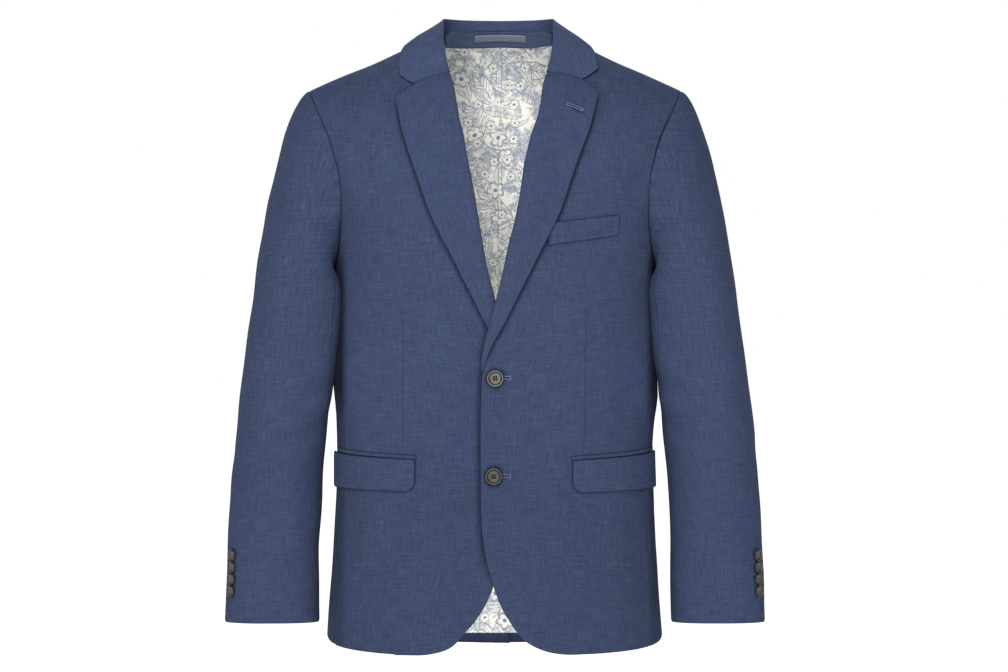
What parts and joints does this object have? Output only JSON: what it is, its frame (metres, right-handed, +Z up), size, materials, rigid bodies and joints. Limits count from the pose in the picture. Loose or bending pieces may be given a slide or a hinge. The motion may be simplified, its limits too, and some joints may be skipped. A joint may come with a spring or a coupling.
{
  "type": "blazer",
  "caption": "Single-breasted blazer in dark blue woven cloth, held in its worn, hollow shape, with notched lapels, flap pockets, a chest pocket and a printed back lining.",
  "frame": {"origin": "on the shoulder line, midway between the two points where the shoulder seams meet the neck; the wearer's shoulders hold the garment there", "axes": "+Z up the wearer's body, -Y out of the front, +X towards the wearer's left"},
  "size_m": [0.6448, 0.2458, 0.7634],
  "materials": {
    "cloth": "dark blue plain weave with slubs, matt",
    "lining": null,
    "loop": "grey-blue satin tape",
    "button": "dark brown, satin, with a paler dished middle"
  },
  "bodies": {
    "root": {"front_left": "cloth", "front_right": "cloth", "side_left": "cloth", "side_right": "cloth", "back_left": "cloth", "back_right": "cloth", "lapel_left": "cloth", "lapel_right": "cloth", "collar": "cloth", "upper_sleeve_left": "cloth", "under_sleeve_left": "cloth", "upper_sleeve_right": "cloth", "under_sleeve_right": "cloth", "flap_left": "cloth", "flap_right": "cloth", "jet_left": "cloth", "jet_right": "cloth", "chest_welt": "cloth", "back_neck_facing": "cloth", "back_lining_left": "lining", "back_lining_right": "lining", "hanger_loop": "loop", "front_button_1": "button", "front_button_2": "button", "cuff_button_left_1": "button", "cuff_button_left_2": "button", "cuff_button_left_3": "button", "cuff_button_left_4": "button", "cuff_button_right_1": "button", "cuff_button_right_2": "button", "cuff_button_right_3": "button", "cuff_button_right_4": "button"}
  },
  "joints": []
}
